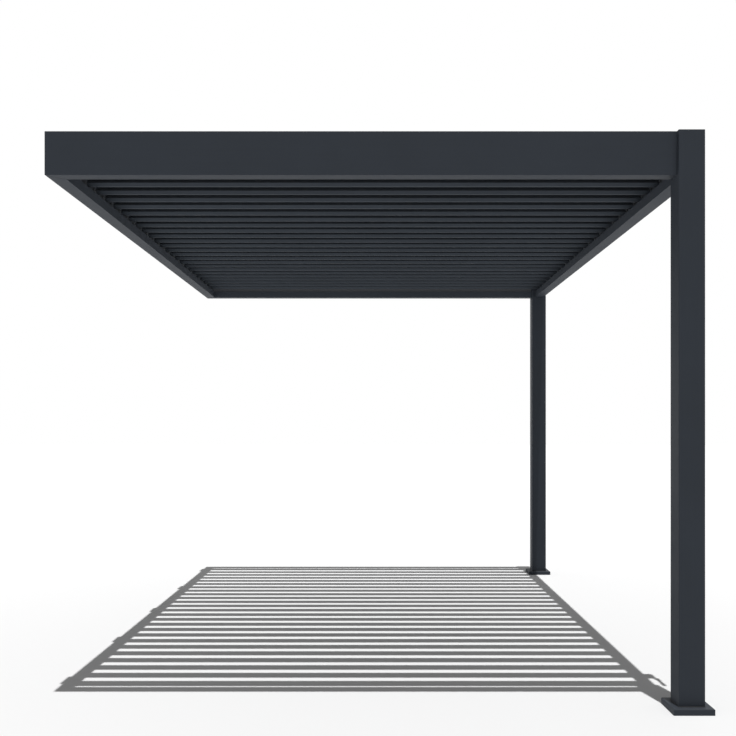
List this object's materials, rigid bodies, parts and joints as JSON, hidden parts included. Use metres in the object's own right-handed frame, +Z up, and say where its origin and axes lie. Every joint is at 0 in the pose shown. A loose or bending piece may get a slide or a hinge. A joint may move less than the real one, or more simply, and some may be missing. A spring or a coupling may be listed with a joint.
{
  "type": "louvered pergola",
  "caption": "Wall-mounted aluminium pergola with a roof of tilting louvres, gutter beams, two square posts and a hand crank.",
  "frame": {"origin": "on the face that meets the wall, at the middle of the wall beam's length and height", "axes": "+X away from the wall, +Y along the wall, +Z up"},
  "size_m": [3.052, 4.093, 2.6551],
  "materials": {
    "frame": "fine matt powder coat",
    "louvre": "fine matt powder coat",
    "bracket": "mill finish"
  },
  "bodies": {
    "frame": {"wall_beam": "frame", "front_beam": "frame", "back_beam": "frame", "outer_beam": "frame", "front_post": "frame", "back_post": "frame", "front_post_cap": "frame", "back_post_cap": "frame", "front_base_plate": "bracket", "back_base_plate": "bracket", "front_foot_cover": "frame", "back_foot_cover": "frame", "gear_box": "frame", "wall_brackets": "bracket", "corner_brackets": "bracket", "wall_bearing_rail": "bracket", "outer_bearing_rail": "bracket"},
    "louvre_01": {"louvre_01": "louvre"},
    "louvre_02": {"louvre_02": "louvre"},
    "louvre_03": {"louvre_03": "louvre"},
    "louvre_04": {"louvre_04": "louvre"},
    "louvre_05": {"louvre_05": "louvre"},
    "louvre_06": {"louvre_06": "louvre"},
    "louvre_07": {"louvre_07": "louvre"},
    "louvre_08": {"louvre_08": "louvre"},
    "louvre_09": {"louvre_09": "louvre"},
    "louvre_10": {"louvre_10": "louvre"},
    "louvre_11": {"louvre_11": "louvre"},
    "louvre_12": {"louvre_12": "louvre"},
    "louvre_13": {"louvre_13": "louvre"},
    "louvre_14": {"louvre_14": "louvre"},
    "louvre_15": {"louvre_15": "louvre"},
    "louvre_16": {"louvre_16": "louvre"},
    "louvre_17": {"louvre_17": "louvre"},
    "louvre_18": {"louvre_18": "louvre"},
    "louvre_19": {"louvre_19": "louvre"},
    "louvre_20": {"louvre_20": "louvre"},
    "louvre_21": {"louvre_21": "louvre"},
    "louvre_22": {"louvre_22": "louvre"},
    "louvre_23": {"louvre_23": "louvre"},
    "louvre_24": {"louvre_24": "louvre"},
    "louvre_25": {"louvre_25": "louvre"},
    "drive_bar": {"drive_bar": "bracket"},
    "hand_crank": {"hand_crank": "bracket"}
  },
  "joints": [
    {"name": "louvre_01_tilt", "type": "hinge", "parent": "frame", "child": "louvre_01", "pos_m": [0.047, -1.8695, 0.04139], "axis": [-1, 0, 0], "range_deg": [-46, 44]},
    {"name": "louvre_02_tilt", "type": "hinge", "parent": "frame", "child": "louvre_02", "pos_m": [0.047, -1.7155, 0.04139], "axis": [-1, 0, 0], "range_deg": [-46, 44]},
    {"name": "louvre_03_tilt", "type": "hinge", "parent": "frame", "child": "louvre_03", "pos_m": [0.047, -1.5615, 0.04139], "axis": [-1, 0, 0], "range_deg": [-46, 44]},
    {"name": "louvre_04_tilt", "type": "hinge", "parent": "frame", "child": "louvre_04", "pos_m": [0.047, -1.4075, 0.04139], "axis": [-1, 0, 0], "range_deg": [-46, 44]},
    {"name": "louvre_05_tilt", "type": "hinge", "parent": "frame", "child": "louvre_05", "pos_m": [0.047, -1.2535, 0.04139], "axis": [-1, 0, 0], "range_deg": [-46, 44]},
    {"name": "louvre_06_tilt", "type": "hinge", "parent": "frame", "child": "louvre_06", "pos_m": [0.047, -1.0995, 0.04139], "axis": [-1, 0, 0], "range_deg": [-46, 44]},
    {"name": "louvre_07_tilt", "type": "hinge", "parent": "frame", "child": "louvre_07", "pos_m": [0.047, -0.9455, 0.04139], "axis": [-1, 0, 0], "range_deg": [-46, 44]},
    {"name": "louvre_08_tilt", "type": "hinge", "parent": "frame", "child": "louvre_08", "pos_m": [0.047, -0.7915, 0.04139], "axis": [-1, 0, 0], "range_deg": [-46, 44]},
    {"name": "louvre_09_tilt", "type": "hinge", "parent": "frame", "child": "louvre_09", "pos_m": [0.047, -0.6375, 0.04139], "axis": [-1, 0, 0], "range_deg": [-46, 44]},
    {"name": "louvre_10_tilt", "type": "hinge", "parent": "frame", "child": "louvre_10", "pos_m": [0.047, -0.4835, 0.04139], "axis": [-1, 0, 0], "range_deg": [-46, 44]},
    {"name": "louvre_11_tilt", "type": "hinge", "parent": "frame", "child": "louvre_11", "pos_m": [0.047, -0.3295, 0.04139], "axis": [-1, 0, 0], "range_deg": [-46, 44]},
    {"name": "louvre_12_tilt", "type": "hinge", "parent": "frame", "child": "louvre_12", "pos_m": [0.047, -0.1755, 0.04139], "axis": [-1, 0, 0], "range_deg": [-46, 44]},
    {"name": "louvre_13_tilt", "type": "hinge", "parent": "frame", "child": "louvre_13", "pos_m": [0.047, -0.0215, 0.04139], "axis": [-1, 0, 0], "range_deg": [-46, 44]},
    {"name": "louvre_14_tilt", "type": "hinge", "parent": "frame", "child": "louvre_14", "pos_m": [0.047, 0.1325, 0.04139], "axis": [-1, 0, 0], "range_deg": [-46, 44]},
    {"name": "louvre_15_tilt", "type": "hinge", "parent": "frame", "child": "louvre_15", "pos_m": [0.047, 0.2865, 0.04139], "axis": [-1, 0, 0], "range_deg": [-46, 44]},
    {"name": "louvre_16_tilt", "type": "hinge", "parent": "frame", "child": "louvre_16", "pos_m": [0.047, 0.4405, 0.04139], "axis": [-1, 0, 0], "range_deg": [-46, 44]},
    {"name": "louvre_17_tilt", "type": "hinge", "parent": "frame", "child": "louvre_17", "pos_m": [0.047, 0.5945, 0.04139], "axis": [-1, 0, 0], "range_deg": [-46, 44]},
    {"name": "louvre_18_tilt", "type": "hinge", "parent": "frame", "child": "louvre_18", "pos_m": [0.047, 0.7485, 0.04139], "axis": [-1, 0, 0], "range_deg": [-46, 44]},
    {"name": "louvre_19_tilt", "type": "hinge", "parent": "frame", "child": "louvre_19", "pos_m": [0.047, 0.9025, 0.04139], "axis": [-1, 0, 0], "range_deg": [-46, 44]},
    {"name": "louvre_20_tilt", "type": "hinge", "parent": "frame", "child": "louvre_20", "pos_m": [0.047, 1.0565, 0.04139], "axis": [-1, 0, 0], "range_deg": [-46, 44]},
    {"name": "louvre_21_tilt", "type": "hinge", "parent": "frame", "child": "louvre_21", "pos_m": [0.047, 1.2105, 0.04139], "axis": [-1, 0, 0], "range_deg": [-46, 44]},
    {"name": "louvre_22_tilt", "type": "hinge", "parent": "frame", "child": "louvre_22", "pos_m": [0.047, 1.3645, 0.04139], "axis": [-1, 0, 0], "range_deg": [-46, 44]},
    {"name": "louvre_23_tilt", "type": "hinge", "parent": "frame", "child": "louvre_23", "pos_m": [0.047, 1.5185, 0.04139], "axis": [-1, 0, 0], "range_deg": [-46, 44]},
    {"name": "louvre_24_tilt", "type": "hinge", "parent": "frame", "child": "louvre_24", "pos_m": [0.047, 1.6725, 0.04139], "axis": [-1, 0, 0], "range_deg": [-46, 44]},
    {"name": "louvre_25_tilt", "type": "hinge", "parent": "frame", "child": "louvre_25", "pos_m": [0.047, 1.8265, 0.04139], "axis": [-1, 0, 0], "range_deg": [-46, 44]},
    {"name": "drive_bar_pivot", "type": "hinge", "parent": "louvre_01", "child": "drive_bar", "pos_m": [0.06, -1.86887, 0.07738], "axis": [-1, 0, 0], "range_deg": [-44, 46]},
    {"name": "hand_crank_turn", "type": "hinge", "parent": "frame", "child": "hand_crank", "pos_m": [3.026, -1.7415, -0.025], "axis": [0, 0, 1], "range_deg": [-460, 440]}
  ],
  "couplings": [
    {"joint": "louvre_02_tilt", "follows": "louvre_01_tilt", "ratio": 1},
    {"joint": "louvre_03_tilt", "follows": "louvre_01_tilt", "ratio": 1},
    {"joint": "louvre_04_tilt", "follows": "louvre_01_tilt", "ratio": 1},
    {"joint": "louvre_05_tilt", "follows": "louvre_01_tilt", "ratio": 1},
    {"joint": "louvre_06_tilt", "follows": "louvre_01_tilt", "ratio": 1},
    {"joint": "louvre_07_tilt", "follows": "louvre_01_tilt", "ratio": 1},
    {"joint": "louvre_08_tilt", "follows": "louvre_01_tilt", "ratio": 1},
    {"joint": "louvre_09_tilt", "follows": "louvre_01_tilt", "ratio": 1},
    {"joint": "louvre_10_tilt", "follows": "louvre_01_tilt", "ratio": 1},
    {"joint": "louvre_11_tilt", "follows": "louvre_01_tilt", "ratio": 1},
    {"joint": "louvre_12_tilt", "follows": "louvre_01_tilt", "ratio": 1},
    {"joint": "louvre_13_tilt", "follows": "louvre_01_tilt", "ratio": 1},
    {"joint": "louvre_14_tilt", "follows": "louvre_01_tilt", "ratio": 1},
    {"joint": "louvre_15_tilt", "follows": "louvre_01_tilt", "ratio": 1},
    {"joint": "louvre_16_tilt", "follows": "louvre_01_tilt", "ratio": 1},
    {"joint": "louvre_17_tilt", "follows": "louvre_01_tilt", "ratio": 1},
    {"joint": "louvre_18_tilt", "follows": "louvre_01_tilt", "ratio": 1},
    {"joint": "louvre_19_tilt", "follows": "louvre_01_tilt", "ratio": 1},
    {"joint": "louvre_20_tilt", "follows": "louvre_01_tilt", "ratio": 1},
    {"joint": "louvre_21_tilt", "follows": "louvre_01_tilt", "ratio": 1},
    {"joint": "louvre_22_tilt", "follows": "louvre_01_tilt", "ratio": 1},
    {"joint": "louvre_23_tilt", "follows": "louvre_01_tilt", "ratio": 1},
    {"joint": "louvre_24_tilt", "follows": "louvre_01_tilt", "ratio": 1},
    {"joint": "louvre_25_tilt", "follows": "louvre_01_tilt", "ratio": 1},
    {"joint": "drive_bar_pivot", "follows": "louvre_01_tilt", "ratio": -1},
    {"joint": "hand_crank_turn", "follows": "louvre_01_tilt", "ratio": 10}
  ]
}
